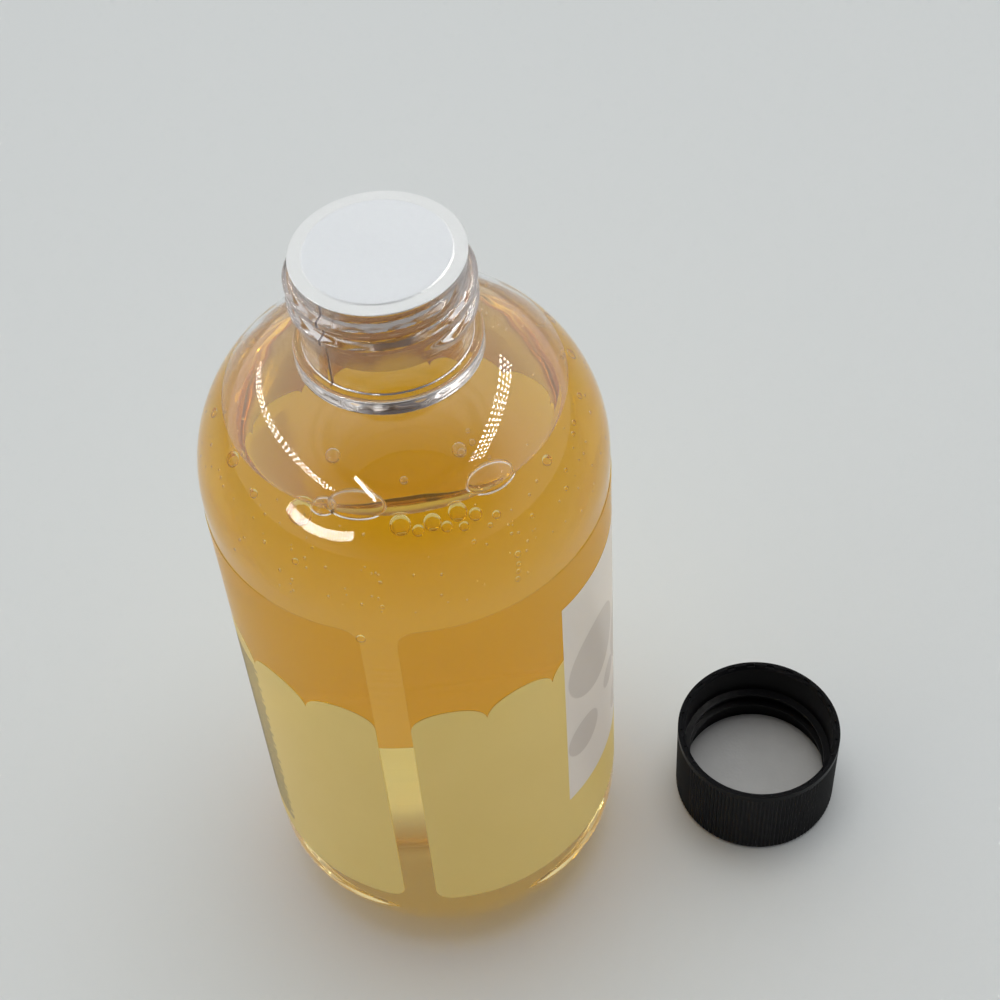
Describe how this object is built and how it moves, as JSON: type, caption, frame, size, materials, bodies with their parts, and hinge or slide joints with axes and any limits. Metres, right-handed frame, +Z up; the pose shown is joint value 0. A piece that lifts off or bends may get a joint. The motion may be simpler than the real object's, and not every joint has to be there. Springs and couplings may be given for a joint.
{
  "type": "bubble bath bottle",
  "caption": "Clear round bottle of amber bubble bath with a domed shoulder, foil-sealed threaded neck and wraparound film label, its ribbed screw cap upturned beside it.",
  "frame": {"origin": "on the bottle's axis, in the plane that the bottle stands on", "axes": "+Z up along the bottle's axis; the middle of the label's front panel faces -Y, and the upturned cap stands on that side"},
  "size_m": [0.0641, 0.1064, 0.1463],
  "materials": {
    "bottle_pet": "clear blown PET, gloss",
    "bubble_bath_liquid": "clear amber liquid",
    "seal_foil": "satin foil with a pressed ring",
    "label_film": "printed film: tinted clear field above, opaque pale field below",
    "cap_polypropylene": "satin black moulded polypropylene",
    "liner_foam": "pale foam disc"
  },
  "bodies": {
    "root": {"bottle": "bottle_pet", "bubble_bath": "bubble_bath_liquid", "foil_seal": "seal_foil", "wrap_label": "label_film", "cap": "cap_polypropylene", "cap_liner": "liner_foam"}
  },
  "joints": []
}
